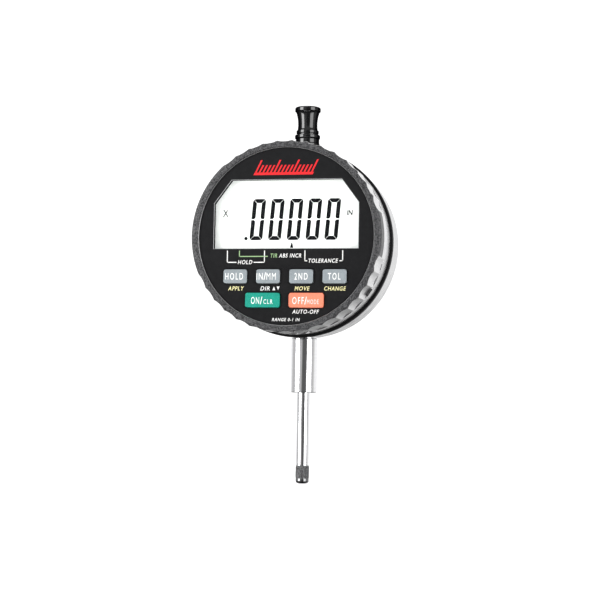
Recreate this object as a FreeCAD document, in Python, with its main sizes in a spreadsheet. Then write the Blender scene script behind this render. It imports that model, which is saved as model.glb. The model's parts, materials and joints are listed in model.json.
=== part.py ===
import FreeCAD, Part
import Sketcher
import math
import os
from types import SimpleNamespace

# Electronic indicator with a round display head, a 3/8 inch stem and a 1 inch plunger.
#
# Row frame (millimetres): the origin is the centre of the stem's lower end face, +Z runs up the
# spindle and the display looks towards -Y. "front" in the names below is the distance in front of
# the plane through the spindle axis, so a part at front 35 lies at y = -35.

FRONT_FACING = FreeCAD.Rotation(FreeCAD.Vector(1, 0, 0), 90)
UPRIGHT = FreeCAD.Rotation()
ACROSS = FreeCAD.Rotation(FreeCAD.Vector(0, 1, 0), 90)

DRIVING = {
    # frame
    "dial_height": 52.4,
    "edge_break": 0.2,
    "fit_gap": 0.04,
    # spindle line
    "spindle_radius": 2.381,
    "spindle_low": -25.8,
    "spindle_high": 96.2,
    "running_gap": 0.03,
    "stem_radius": 4.7625,
    "stem_exposed": 19.2,
    "stem_seat_radius": 4.5,
    "stem_shoulder": 27.2,
    "stem_neck_radius": 3.9,
    "stem_high": 31.4,
    "stem_bore": 3.2,
    "lower_bushing_low": 0.6,
    "lower_bushing_high": 31.0,
    "yoke_thickness": 1.8,
    "yoke_left": 7.0,
    "yoke_right": 12.5,
    "yoke_half_depth": 4.8,
    "nut_thickness": 2.4,
    "nut_circumradius": 5.9,
    "upper_bushing_low": 73.2,
    "upper_bushing_shoulder": 77.6,
    "upper_bushing_high": 91.1,
    "upper_bushing_neck": 3.6,
    "upper_bushing_radius": 4.2,
    "collar_radius": 4.4,
    "collar_high": 89.4,
    "guide_x": 10.0,
    "guide_radius": 1.5,
    "guide_gap": 0.06,
    "bumper_inner": 2.7,
    "bumper_outer": 4.6,
    "bumper_thickness": 0.6,
    # contact point
    "contact_length": 6.35,
    "contact_radius": 2.45,
    "contact_band_radius": 2.4,
    "contact_band": 1.5,
    "contact_edge": 0.3,
    "contact_tip_radius": 1.9,
    "contact_tip_rise": 0.45,
    "contact_stud_radius": 1.4,
    "contact_stud_length": 4.5,
    "thread_gap": 0.02,
    "thread_relief": 0.3,
    # lifting knob, heights above its lower face
    "knob_low": 91.15,
    "knob_length": 11.35,
    "knob_ring_radius": 4.5,
    "knob_ring_high": 1.3,
    "knob_groove_radius": 3.72,
    "knob_groove_high": 1.75,
    "knob_bead_radius": 3.98,
    "knob_bead_high": 3.05,
    "knob_waist_start_radius": 3.6,
    "knob_rim_radius": 4.58,
    "knob_rim_low": 9.7,
    "knob_waist_end_radius": 4.2,
    "knob_waist_curve": 14.0,
    "knob_rim_round": 0.5,
    "knob_bore_depth": 5.15,
    "knob_stud_radius": 1.25,
    "knob_stud_low": 91.6,
    "knob_stud_high": 100.0,
    # carrier, scale and spring
    "carrier_low": 32.1,
    "carrier_thickness": 8.0,
    "carrier_half_width": 5.5,
    "carrier_back": 4.4,
    "carrier_front": 6.6,
    "arm_half_depth": 2.8,
    "arm_right": 12.4,
    "arm_inset": 1.5,
    "carrier_screw_radius": 1.0,
    "carrier_head_radius": 1.9,
    "carrier_head_thickness": 1.3,
    "carrier_screw_gap": 0.2,
    "scale_half_width": 4.5,
    "scale_thickness": 1.0,
    "scale_low": 25.0,
    "scale_high": 54.9,
    "head_half_width": 6.5,
    "head_low": 50.4,
    "head_gap": 0.3,
    "spring_radius": 3.3,
    "wire_radius": 0.225,
    "spring_turns": 11,
    "spring_gap": 0.1,
    # case
    "case_radius": 32.35,
    "case_front": 21.9,
    "case_rear": 12.3,
    "case_inner": 29.8,
    "case_floor": 20.6,
    "case_throat": 28.2,
    "case_register_radius": 30.5,
    "case_register_depth": 1.7,
    "spigot_radius": 29.95,
    "spigot_front": 24.6,
    "spigot_lip_radius": 27.0,
    "spigot_lip_thickness": 0.8,
    "seal_radius": 33.2,
    "seal_inner": 30.45,
    "seal_rear": 9.9,
    "seal_round": 0.35,
    "housing_radius": 32.95,
    "housing_rear": -5.0,
    "housing_inner": 28.6,
    "housing_chamfer": 1.2,
    "housing_spigot_radius": 30.4,
    "housing_spigot_front": 13.8,
    "boss_radius": 3.2,
    "boss_circle": 26.3,
    "boss_front": 10.5,
    "boss_hole": 1.3,
    "cover_radius": 32.0,
    "cover_rear": -9.6,
    "cover_chamfer": 1.8,
    "cover_dish_radius": 27.8,
    "cover_dish": -7.2,
    "screw_radius": 1.25,
    "screw_head_radius": 2.4,
    "screw_head_thickness": 1.4,
    "screw_front": 2.0,
    "screw_slot_half": 0.3,
    "lug_half_thickness": 3.175,
    "lug_hole_radius": 3.175,
    "lug_reach": 8.0,
    "lug_radius": 6.35,
    "lug_overlap": 0.35,
    "lug_pad_radius": 9.2,
    "lug_pad_rise": 1.1,
    "cover_ring_radius": 29.2,
    "cover_ring_half_width": 0.3,
    "cover_ring_depth": 0.35,
    # rotary joint of the display head
    "oring_radius": 29.42,
    "oring_section": 0.55,
    "oring_front": 23.2,
    "groove_radius": 28.85,
    "groove_half_width": 0.65,
    "retainer_inner": 25.2,
    "retainer_sleeve": 26.7,
    "retainer_flange": 27.9,
    "retainer_rear": 21.4,
    "retainer_flange_front": 23.5,
    "stop_pin_radius": 0.9,
    "stop_pin_circle": 26.4,
    "stop_inner": 24.5,
    "stop_rear": 20.5,
    "stop_front": 21.1,
    "stop_half_angle": 42.6,
    # boards
    "board_radius": 28.2,
    "board_thickness": 1.6,
    "chip_size": 9.0,
    "chip_thickness": 1.1,
    "chip_offset": 14.0,
    "board_screw_head": 1.9,
    "board_screw_head_thickness": 0.9,
    "board_screw_length": 4.0,
    # battery drawer
    "drawer_half_width": 13.2,
    "drawer_rear": 14.4,
    "drawer_front": 20.2,
    "drawer_end": 4.1,
    "drawer_gap": 0.3,
    "slot_gap": 0.2,
    "battery_radius": 12.25,
    "battery_thickness": 5.0,
    "battery_x": 17.0,
    "battery_gap": 0.15,
    "grip_half_width": 4.0,
    "grip_half_depth": 0.9,
    "grip_depth": 0.9,
    "cage_left": 24.0,
    "cage_right": 3.0,
    "cage_wall": 0.9,
    "cage_rear": 13.5,
    "contact_leaf": 0.2,
    "contact_leaf_half": 2.0,
    "rim_leaf_half": 0.7,
    "rim_leaf_circle": 11.3,
    # data port
    "port_half_width": 4.6,
    "port_rear": 3.6,
    "port_front": 8.0,
    "port_gap": 0.3,
    "socket_depth": 8.0,
    "socket_wall": 1.0,
    "socket_inner": 28.2,
    "port_cover_half_width": 6.2,
    "port_cover_margin": 1.4,
    "port_cover_thickness": 0.7,
    # flexible ribbon between the boards
    "ribbon_rear": 21.0,
    "ribbon_front": 25.6,
    "ribbon_radius": 6.0,
    "ribbon_pitch": 2.4,
    "ribbon_thickness": 0.3,
    "ribbon_half_turns": 6,
    "ribbon_tail_half_width": 2.3,
    # bezel and face
    "bezel_radius": 32.7,
    "bezel_front": 35.0,
    "bezel_rear": 22.5,
    "bezel_inner": 30.05,
    "bezel_chamfer": 0.7,
    "bezel_inner_chamfer": 0.45,
    "flute_radius": 7.2,
    "flute_depth": 0.62,
    "flute_pitch": 9.0,
    "flute_upper_first": 19.5,
    "flute_upper_count": 13,
    "flute_lower_first": 208.0,
    "flute_lower_count": 16,
    "tongue_angle": -34.0,
    "tongue_half_width": 1.5,
    "tongue_rear": 20.4,
    "tongue_front": 24.6,
    "tongue_low": 32.65,
    "tongue_high": 33.1,
    "face_radius": 30.0,
    "face_front": 34.2,
    "face_thickness": 1.4,
    "window_offset": -0.05,
    "window_half_width": 25.0,
    "window_low": -4.3,
    "window_high": 19.3,
    "window_cut_width": 5.95,
    "window_cut_height": 8.0,
    "lens_growth": 0.6,
    "lens_thickness": 0.8,
    "glass_growth": 0.4,
    "glass_thickness": 1.6,
    "diffuser_growth": -2.2,
    "diffuser_thickness": 1.0,
    "layer_gap": 0.1,
    "zebra_half_length": 22.0,
    "zebra_width": 1.6,
    "display_board_front": 28.4,
    "display_board_radius": 28.6,
    "display_chip_height": 8.0,
    "base_rear": 24.9,
    "base_thickness": 1.5,
    "base_inner": 16.0,
    "base_radius": 29.9,
    # keys
    "key_gap": 0.25,
    "key_front": 34.85,
    "key_corner": 0.8,
    "key_flange_growth": 0.7,
    "key_flange_front": 32.7,
    "key_flange_thickness": 0.8,
    "key_plunger_radius": 1.3,
    "key_plunger_rear": 29.5,
    "key_small_half_width": 4.05,
    "key_small_half_height": 2.35,
    "key_small_up": -13.65,
    "key_small_pitch": 11.37,
    "key_large_half_width": 5.95,
    "key_large_half_height": 2.45,
    "key_large_up": -21.65,
    "key_large_pitch": 15.0,
    "mat_rear": 30.2,
    "mat_thickness": 1.0,
    "mat_high": -8.5,
    "mat_low": -26.5,
    "mat_hole_radius": 1.7,
}


class Size:
    """A length with the spreadsheet expression that gives it."""

    def __init__(self, value, text):
        self.value = value
        self.text = text

    def __add__(self, other):
        other = as_size(other)
        return Size(self.value + other.value, f"({self.text} + {other.text})")

    def __sub__(self, other):
        other = as_size(other)
        return Size(self.value - other.value, f"({self.text} - {other.text})")

    def __rsub__(self, other):
        return as_size(other) - self

    def __mul__(self, other):
        other = as_size(other)
        return Size(self.value * other.value, f"({self.text} * {other.text})")

    def __truediv__(self, other):
        other = as_size(other)
        return Size(self.value / other.value, f"({self.text} / {other.text})")

    def __neg__(self):
        return Size(-self.value, f"(0 - {self.text})")

    __radd__ = __add__
    __rmul__ = __mul__


def as_size(number):
    return number if isinstance(number, Size) else Size(number, str(number))


def cosine(angle):
    return Size(math.cos(math.radians(angle.value)), f"cos({angle.text} * 1 deg)")


def sine(angle):
    return Size(math.sin(math.radians(angle.value)), f"sin({angle.text} * 1 deg)")


doc = FreeCAD.newDocument("indicator")
sheet = doc.addObject("Spreadsheet::Sheet", "Sizes")
for row, (name, number) in enumerate(DRIVING.items(), start=1):
    sheet.set(f"A{row}", name.replace("_", " "))
    sheet.set(f"B{row}", str(number))
    sheet.setAlias(f"B{row}", name)
doc.recompute()
s = SimpleNamespace(**{name: Size(number, f"Sizes.{name}") for name, number in DRIVING.items()})

SUBPARTS = []
ZERO = Size(0.0, "0")
DIAL_AXIS = (ZERO, ZERO, s.dial_height)


def finish(item, label):
    """Name a sub-part; its label is its file's name."""
    item.Label = label
    SUBPARTS.append(item)
    return item


def sheet_size(name):
    """A driving dimension as a plain number, for a shape made with Part's own functions."""
    return float(sheet.get(name))


def bind(item, **sizes):
    for name, amount in sizes.items():
        setattr(item, name, as_size(amount).value)
        item.setExpression(name, as_size(amount).text)


def place(item, where, rotation=UPRIGHT):
    """Put an object at a point given by three sizes."""
    point = [as_size(amount) for amount in where]
    item.Placement = FreeCAD.Placement(FreeCAD.Vector(*[amount.value for amount in point]), rotation)
    for letter, amount in zip("xyz", point):
        item.setExpression(f"Placement.Base.{letter}", amount.text)
    return item


def box(x, y, z):
    """A block between pairs of sizes along X, Y and Z."""
    block = doc.addObject("Part::Box", "block")
    bind(block, Length=x[1] - x[0], Width=y[1] - y[0], Height=z[1] - z[0])
    return place(block, (x[0], y[0], z[0]))


def front_box(x, up, front):
    """A block of the display head: x, height over the dial centre, and distance to the front."""
    return box(x, (-as_size(front[1]), -as_size(front[0])), (s.dial_height + up[0], s.dial_height + up[1]))


def cylinder(radius, length, where, rotation=UPRIGHT):
    rod = doc.addObject("Part::Cylinder", "rod")
    bind(rod, Radius=radius, Height=length)
    return place(rod, where, rotation)


def post(radius, low, high, x=ZERO):
    """An upright round bar."""
    return cylinder(radius, high - low, (x, ZERO, low))


def front_disc(radius, rear, front, x=ZERO, up=ZERO):
    """A round bar along the dial axis."""
    return cylinder(radius, front - rear, (x, -as_size(rear), s.dial_height + up), FRONT_FACING)


def cut(base, *tools):
    result = doc.addObject("Part::Cut", "cut")
    result.Base = base
    result.Tool = tools[0] if len(tools) == 1 else fuse(*tools)
    return result


def fuse(*shapes):
    result = doc.addObject("Part::MultiFuse", "fusion")
    result.Shapes = list(shapes)
    return result


def common(base, tool):
    result = doc.addObject("Part::Common", "common")
    result.Base = base
    result.Tool = tool
    return result


def tube(inner, outer, rear, front):
    """A ring about the dial axis."""
    return cut(front_disc(outer, rear, front), front_disc(inner, rear - 1, front + 1))


def new_body(label, where=(ZERO, ZERO, ZERO), rotation=UPRIGHT):
    body = doc.addObject("PartDesign::Body", label)
    place(body, where, rotation)
    return body


def new_sketch(body, name, role, offset=ZERO):
    """A sketch on one of the body's own origin planes, moved along the plane's normal."""
    sketch = body.newObject("Sketcher::SketchObject", name)
    plane = next(item for item in body.Origin.OriginFeatures if item.Role == role)
    sketch.AttachmentSupport = (plane, [""])
    sketch.MapMode = "FlatFace"
    sketch.setExpression("AttachmentOffset.Base.z", as_size(offset).text)
    return sketch


def pin_point(sketch, edge, end, point):
    """Fix one end or centre of an edge at a point given by two sizes."""
    for kind, amount in zip(("DistanceX", "DistanceY"), point):
        amount = as_size(amount)
        index = sketch.addConstraint(Sketcher.Constraint(kind, -1, 1, edge, end, amount.value))
        sketch.setExpression(f"Constraints[{index}]", amount.text)


def draw_circle(sketch, centre, radius):
    x, y = (as_size(amount) for amount in centre)
    circle = Part.Circle(FreeCAD.Vector(x.value, y.value, 0), FreeCAD.Vector(0, 0, 1), radius.value)
    edge = sketch.addGeometry(circle)
    pin_point(sketch, edge, 3, (x, y))
    index = sketch.addConstraint(Sketcher.Constraint("Radius", edge, radius.value))
    sketch.setExpression(f"Constraints[{index}]", radius.text)


def draw_outline(sketch, points, arcs=None):
    """Draw a closed outline; arcs maps an edge's number to its radius, negative when it curves inwards."""
    arcs = arcs or {}
    corners = [FreeCAD.Vector(as_size(x).value, as_size(y).value, 0) for x, y in points]
    ends = []
    for number, start in enumerate(corners):
        finish_point = corners[(number + 1) % len(corners)]
        if number in arcs:
            radius = as_size(arcs[number])
            chord = finish_point - start
            half = chord.Length / 2
            rise = abs(radius.value) - math.sqrt(radius.value ** 2 - half ** 2)
            outward = FreeCAD.Vector(chord.y, -chord.x, 0).normalize()
            middle = (start + finish_point) / 2 + outward * math.copysign(rise, radius.value)
            edge = sketch.addGeometry(Part.Arc(start, middle, finish_point))
            index = sketch.addConstraint(Sketcher.Constraint("Radius", edge, abs(radius.value)))
            sketch.setExpression(f"Constraints[{index}]", f"abs({radius.text})")
        else:
            edge = sketch.addGeometry(Part.LineSegment(start, finish_point))
        forward = sketch.getPoint(edge, 1).distanceToPoint(start) < sketch.getPoint(edge, 2).distanceToPoint(start)
        ends.append((edge, 1, 2) if forward else (edge, 2, 1))
    for number, point in enumerate(points):
        edge, first, _ = ends[number]
        before, _, last = ends[number - 1]
        sketch.addConstraint(Sketcher.Constraint("Coincident", before, last, edge, first))
        pin_point(sketch, edge, first, point)


def pad(body, sketch, length):
    feature = body.newObject("PartDesign::Pad", "Pad")
    feature.Profile = sketch
    bind(feature, Length=length)
    return feature


def pocket(body, sketch, length, reversed_side=False):
    """Cut along the sketch's normal; the cut has to remove something."""
    doc.recompute()
    before = body.Shape.Volume
    feature = body.newObject("PartDesign::Pocket", "Pocket")
    feature.Profile = sketch
    feature.Reversed = reversed_side
    bind(feature, Length=length)
    doc.recompute()
    if body.Shape.Volume >= before:
        raise RuntimeError(f"{body.Label}: a pocket cut nothing")
    return feature


def polar(body, feature, axis_role, count, spread):
    """Repeat a feature around one of the body's own axes."""
    pattern = body.newObject("PartDesign::PolarPattern", "Pattern")
    pattern.Originals = [feature]
    axis = next(item for item in body.Origin.OriginFeatures if item.Role == axis_role)
    pattern.Axis = (axis, [""])
    bind(pattern, Angle=spread)
    pattern.Occurrences = int(as_size(count).value)
    pattern.setExpression("Occurrences", as_size(count).text)
    body.Tip = pattern
    return pattern


def revolved(label, points, arcs=None, where=(ZERO, ZERO, ZERO), rotation=UPRIGHT):
    """A body of revolution about its own Z axis, from (radius, height) points."""
    body = new_body(label, where, rotation)
    sketch = new_sketch(body, "Profile", "XZ_Plane")
    draw_outline(sketch, points, arcs)
    feature = body.newObject("PartDesign::Revolution", "Revolution")
    feature.Profile = sketch
    feature.ReferenceAxis = (sketch, ["V_Axis"])
    feature.Angle = 360
    body.Tip = feature
    return body


def dial_revolved(label, points, arcs=None):
    """A body of revolution about the dial axis, from (radius, front) points."""
    return revolved(label, points, arcs, DIAL_AXIS, FRONT_FACING)


def draw_rounded_rectangle(sketch, centre, half_width, half_height, corner):
    """A rectangle with quarter-round corners."""
    x, y = centre
    inner_x = half_width - corner
    inner_y = half_height - corner
    points = [
        (x - inner_x, y - half_height), (x + inner_x, y - half_height),
        (x + half_width, y - inner_y), (x + half_width, y + inner_y),
        (x + inner_x, y + half_height), (x - inner_x, y + half_height),
        (x - half_width, y + inner_y), (x - half_width, y - inner_y),
    ]
    draw_outline(sketch, points, {1: corner, 3: corner, 5: corner, 7: corner})


def window_points(growth):
    """The display window's outline, grown outwards: a rectangle with its upper corners cut off."""
    left = s.window_offset - s.window_half_width - growth
    right = s.window_offset + s.window_half_width + growth
    low = s.window_low - growth
    high = s.window_high + growth
    return [
        (left, low), (right, low), (right, high - s.window_cut_height),
        (right - s.window_cut_width, high), (left + s.window_cut_width, high),
        (left, high - s.window_cut_height),
    ]


def window_plate(label, growth, rear, thickness):
    body = new_body(label, DIAL_AXIS, FRONT_FACING)
    sketch = new_sketch(body, "Outline", "XY_Plane", rear)
    draw_outline(sketch, window_points(growth))
    pad(body, sketch, thickness)
    return finish(body, label)


def around(radius, angle):
    """A point on a circle about the dial axis: x and height over the dial centre."""
    return radius * cosine(angle), radius * sine(angle)


BOSS_PLACES = [around(s.boss_circle, Size(angle, str(angle))) for angle in (45, 135, 225, 315)]


# ---- spindle line ---------------------------------------------------------------------------

def make_spindle():
    bar = post(s.spindle_radius, s.spindle_low, s.spindle_high)
    lower_hole = post(s.contact_stud_radius + s.thread_gap, s.spindle_low - 1,
                      s.spindle_low + s.contact_stud_length + s.thread_relief)
    upper_hole = post(s.knob_stud_radius + s.thread_gap, s.knob_stud_low - s.thread_relief, s.spindle_high + 1)
    finish(cut(bar, lower_hole, upper_hole), "spindle")


def make_contact_point():
    tip = s.spindle_low - s.contact_length
    band_high = tip + s.contact_tip_rise + s.contact_band
    points = [
        (ZERO, tip),
        (s.contact_tip_radius, tip + s.contact_tip_rise / 2),
        (s.contact_band_radius, tip + s.contact_tip_rise + s.contact_edge),
        (s.contact_band_radius, band_high),
        (s.contact_radius, band_high),
        (s.contact_radius, s.spindle_low - s.contact_edge),
        (s.contact_radius - s.contact_edge, s.spindle_low),
        (s.contact_stud_radius, s.spindle_low),
        (s.contact_stud_radius, s.spindle_low + s.contact_stud_length),
        (ZERO, s.spindle_low + s.contact_stud_length),
    ]
    finish(revolved("contact_point", points, {0: s.contact_length * 1.5, 1: s.contact_edge * 3}), "contact_point")


def make_lift_knob():
    low = s.knob_low
    high = low + s.knob_length
    bore = s.spindle_radius + s.thread_gap
    stud = s.knob_stud_radius + s.thread_gap
    ring_edge = s.knob_ring_radius - s.edge_break
    points = [
        (bore, low),
        (ring_edge, low),
        (s.knob_ring_radius, low + s.edge_break),
        (s.knob_ring_radius, low + s.knob_ring_high - s.edge_break),
        (ring_edge, low + s.knob_ring_high),
        (s.knob_groove_radius, low + s.knob_ring_high),
        (s.knob_groove_radius, low + s.knob_groove_high),
        (s.knob_bead_radius, low + s.knob_groove_high + s.edge_break),
        (s.knob_bead_radius, low + s.knob_bead_high - s.edge_break),
        (s.knob_waist_start_radius, low + s.knob_bead_high),
        (s.knob_waist_end_radius, low + s.knob_rim_low),
        (s.knob_rim_radius, low + s.knob_rim_low + s.edge_break),
        (s.knob_rim_radius, high - s.knob_rim_round),
        (s.knob_rim_radius - s.knob_rim_round, high),
        (ZERO, high),
        (ZERO, s.knob_stud_high + s.edge_break),
        (stud, s.knob_stud_high + s.edge_break),
        (stud, low + s.knob_bore_depth),
        (bore, low + s.knob_bore_depth),
    ]
    finish(revolved("lift_knob", points, {9: -s.knob_waist_curve, 12: s.knob_rim_round}), "lift_knob")


def make_carrier():
    low = s.carrier_low
    high = low + s.carrier_thickness
    middle = low + s.carrier_thickness / 2
    block = box((-s.carrier_half_width, s.carrier_half_width), (-s.carrier_front, s.carrier_back), (low, high))
    arm = box((ZERO, s.arm_right), (-s.arm_half_depth, s.arm_half_depth), (low + s.arm_inset, high - s.arm_inset))
    bore = post(s.spindle_radius + s.thread_gap, low - 1, high + 1)
    guide = post(s.guide_radius + s.guide_gap, low, high, s.guide_x)
    screw_length = s.carrier_back - s.spindle_radius - s.carrier_screw_gap
    screw_hole = cylinder(s.carrier_screw_radius + s.thread_gap, s.carrier_back, (ZERO, s.carrier_back, middle),
                          FRONT_FACING)
    finish(cut(fuse(block, arm), bore, guide, screw_hole), "carrier")
    shank = cylinder(s.carrier_screw_radius, screw_length, (ZERO, s.carrier_back, middle), FRONT_FACING)
    head = cylinder(s.carrier_head_radius, s.carrier_head_thickness,
                    (ZERO, s.carrier_back + s.carrier_head_thickness, middle), FRONT_FACING)
    finish(fuse(shank, head), "carrier_screw")


def make_scale():
    scale = box((-s.scale_half_width, s.scale_half_width), (-s.carrier_front - s.scale_thickness, -s.carrier_front),
                (s.scale_low, s.scale_high))
    finish(scale, "scale")


def make_return_spring():
    """A compression spring around the spindle, between the carrier and the upper bushing."""
    inset = sheet_size("spring_gap") + sheet_size("wire_radius")
    low = sheet_size("carrier_low") + sheet_size("carrier_thickness") + inset
    length = sheet_size("upper_bushing_low") - inset - low
    coil_radius = sheet_size("spring_radius")
    helix = Part.makeHelix(length / sheet_size("spring_turns"), length, coil_radius)
    wire_start = FreeCAD.Vector(coil_radius, 0, 0)
    section = Part.Wire(Part.makeCircle(sheet_size("wire_radius"), wire_start, FreeCAD.Vector(0, 1, 0)))
    spring = doc.addObject("Part::Feature", "spring")
    spring.Shape = Part.Wire(helix.Edges).makePipeShell([section], True, True)
    spring.Placement = FreeCAD.Placement(FreeCAD.Vector(0, 0, low), UPRIGHT)
    finish(spring, "return_spring")


def make_stem():
    points = [
        (s.stem_bore, ZERO),
        (s.stem_radius, ZERO),
        (s.stem_radius, s.stem_exposed),
        (s.stem_seat_radius, s.stem_exposed),
        (s.stem_seat_radius, s.stem_shoulder),
        (s.stem_neck_radius, s.stem_shoulder),
        (s.stem_neck_radius, s.stem_high),
        (s.stem_bore, s.stem_high),
    ]
    finish(revolved("stem", points), "stem")


def make_bushings():
    bore = s.spindle_radius + s.running_gap
    lower = cut(post(s.stem_bore - s.fit_gap, s.lower_bushing_low, s.lower_bushing_high),
                post(bore, s.lower_bushing_low - 1, s.lower_bushing_high + 1))
    finish(lower, "lower_bushing")
    points = [
        (bore, s.upper_bushing_low),
        (s.upper_bushing_neck, s.upper_bushing_low),
        (s.upper_bushing_neck, s.upper_bushing_shoulder),
        (s.collar_radius, s.upper_bushing_shoulder),
        (s.collar_radius, s.collar_high - s.edge_break),
        (s.upper_bushing_radius, s.collar_high),
        (s.upper_bushing_radius, s.upper_bushing_high - s.edge_break),
        (s.upper_bushing_radius - s.edge_break, s.upper_bushing_high),
        (bore, s.upper_bushing_high),
    ]
    finish(revolved("upper_bushing", points), "upper_bushing")


def make_nut(label, low, neck):
    nut = doc.addObject("Part::Prism", "hexagon")
    nut.Polygon = 6
    bind(nut, Circumradius=s.nut_circumradius, Height=s.nut_thickness)
    place(nut, (ZERO, ZERO, low))
    finish(cut(nut, post(neck + s.fit_gap, low - 1, low + s.nut_thickness + 1)), label)


def make_yoke(label, low, neck):
    plate = box((-s.yoke_left, s.yoke_right), (-s.yoke_half_depth, s.yoke_half_depth), (low, low + s.yoke_thickness))
    neck_hole = post(neck + s.fit_gap, low - 1, low + s.yoke_thickness + 1)
    guide_hole = post(s.guide_radius + s.fit_gap, low - 1, low + s.yoke_thickness + 1, s.guide_x)
    finish(cut(plate, neck_hole, guide_hole), label)


def make_guides():
    upper_low = s.upper_bushing_shoulder - s.yoke_thickness
    make_yoke("lower_yoke", s.stem_shoulder, s.stem_neck_radius)
    make_yoke("upper_yoke", upper_low, s.upper_bushing_neck)
    make_nut("stem_nut", s.stem_shoulder + s.yoke_thickness, s.stem_neck_radius)
    make_nut("bushing_nut", upper_low - s.nut_thickness, s.upper_bushing_neck)
    finish(post(s.guide_radius, s.stem_shoulder, s.upper_bushing_shoulder, s.guide_x), "guide_rod")
    washer_high = s.stem_high + s.bumper_thickness
    finish(cut(post(s.bumper_outer, s.stem_high, washer_high), post(s.bumper_inner, s.stem_high - 1, washer_high + 1)),
           "stop_bumper")


# ---- case -----------------------------------------------------------------------------------

def make_front_case():
    groove_rear = s.oring_front - s.groove_half_width
    groove_front = s.oring_front + s.groove_half_width
    lip_rear = s.spigot_front - s.spigot_lip_thickness
    register_front = s.case_rear + s.case_register_depth
    points = [
        (s.case_register_radius, s.case_rear),
        (s.case_radius, s.case_rear),
        (s.case_radius, s.case_front),
        (s.spigot_radius, s.case_front),
        (s.spigot_radius, groove_rear),
        (s.groove_radius, groove_rear),
        (s.groove_radius, groove_front),
        (s.spigot_radius, groove_front),
        (s.spigot_radius, s.spigot_front),
        (s.spigot_lip_radius, s.spigot_front),
        (s.spigot_lip_radius, lip_rear),
        (s.case_throat, lip_rear),
        (s.case_throat, s.case_floor),
        (s.case_inner, s.case_floor),
        (s.case_inner, register_front),
        (s.case_register_radius, register_front),
    ]
    shell = dial_revolved("case_shell", points)
    width = s.drawer_half_width + s.drawer_gap
    slot = front_box((-s.case_radius - 1, -s.cage_left), (-width, width),
                     (s.drawer_rear - s.slot_gap, s.drawer_front + s.slot_gap))
    finish(cut(shell, slot), "front_case")


def make_seal_ring():
    points = [
        (s.seal_inner, s.seal_rear),
        (s.seal_radius - s.seal_round, s.seal_rear),
        (s.seal_radius, s.seal_rear + s.seal_round),
        (s.seal_radius, s.case_rear - s.seal_round),
        (s.seal_radius - s.seal_round, s.case_rear),
        (s.seal_inner, s.case_rear),
    ]
    finish(dial_revolved("seal_ring", points, {1: s.seal_round, 3: s.seal_round}), "seal_ring")


def make_rear_housing():
    points = [
        (s.housing_inner, s.housing_rear),
        (s.housing_radius - s.housing_chamfer, s.housing_rear),
        (s.housing_radius, s.housing_rear + s.housing_chamfer),
        (s.housing_radius, s.seal_rear),
        (s.housing_spigot_radius, s.seal_rear),
        (s.housing_spigot_radius, s.housing_spigot_front),
        (s.housing_inner, s.housing_spigot_front),
    ]
    shell = dial_revolved("housing_shell", points)
    bosses = [front_disc(s.boss_radius, s.housing_rear, s.boss_front, x, up) for x, up in BOSS_PLACES]
    pilots = [front_disc(s.boss_hole, s.housing_rear - 1, s.boss_front + 1, x, up) for x, up in BOSS_PLACES]
    stem_hole = post(s.stem_seat_radius + s.fit_gap, ZERO, s.dial_height)
    bushing_hole = post(s.collar_radius + s.fit_gap, s.dial_height, s.collar_high)
    port = front_box((-s.housing_radius - 1, ZERO), (-s.port_half_width, s.port_half_width),
                     (s.port_rear, s.port_front))
    finish(cut(fuse(shell, *bosses), stem_hole, bushing_hole, port, *pilots), "rear_housing")


def make_back_cover():
    """The dished rear cover with its mounting lug on the centre."""
    pad_rear = s.cover_rear - s.lug_pad_rise
    ring_outer = s.cover_ring_radius + s.cover_ring_half_width
    ring_inner = s.cover_ring_radius - s.cover_ring_half_width
    ring_floor = s.cover_rear + s.cover_ring_depth
    points = [
        (ZERO, pad_rear),
        (s.lug_pad_radius - s.lug_pad_rise / 2, pad_rear),
        (s.lug_pad_radius, s.cover_rear),
        (ring_inner, s.cover_rear),
        (s.cover_ring_radius, ring_floor),
        (ring_outer, s.cover_rear),
        (s.cover_radius - s.cover_chamfer, s.cover_rear),
        (s.cover_radius, s.cover_rear + s.cover_chamfer),
        (s.cover_radius, s.housing_rear),
        (s.cover_dish_radius, s.housing_rear),
        (s.cover_dish_radius, s.cover_dish),
        (ZERO, s.cover_dish),
    ]
    plate = dial_revolved("cover_plate", points)
    bosses = [front_disc(s.boss_radius, s.cover_dish, s.housing_rear, x, up) for x, up in BOSS_PLACES]
    holes = [front_disc(s.boss_hole, s.cover_rear - 1, s.housing_rear + 1, x, up) for x, up in BOSS_PLACES]
    head_seats = [front_disc(s.screw_head_radius + s.fit_gap, s.cover_rear - 1,
                             s.cover_rear + s.screw_head_thickness, x, up) for x, up in BOSS_PLACES]
    lug_y = -s.cover_rear + s.lug_reach
    ear = box((-s.lug_half_thickness, s.lug_half_thickness), (-s.cover_rear - s.lug_overlap, lug_y),
              (s.dial_height - s.lug_radius, s.dial_height + s.lug_radius))
    round_end = cylinder(s.lug_radius, s.lug_half_thickness * 2, (-s.lug_half_thickness, lug_y, s.dial_height), ACROSS)
    hole = cylinder(s.lug_hole_radius, s.lug_radius * 2, (-s.lug_radius, lug_y, s.dial_height), ACROSS)
    finish(cut(fuse(plate, ear, round_end, *bosses), hole, *holes, *head_seats), "back_cover")


def make_cover_screws():
    shoulder = s.cover_rear + s.screw_head_thickness
    for number, (x, up) in enumerate(BOSS_PLACES, start=1):
        head = front_disc(s.screw_head_radius, s.cover_rear, shoulder, x, up)
        shank = front_disc(s.screw_radius, shoulder, s.screw_front, x, up)
        slot = front_box((x - s.screw_head_radius, x + s.screw_head_radius),
                         (up - s.screw_slot_half, up + s.screw_slot_half),
                         (s.cover_rear - 1, s.cover_rear + s.screw_head_thickness / 2))
        finish(cut(fuse(head, shank), slot), f"cover_screw_{number}")


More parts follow.
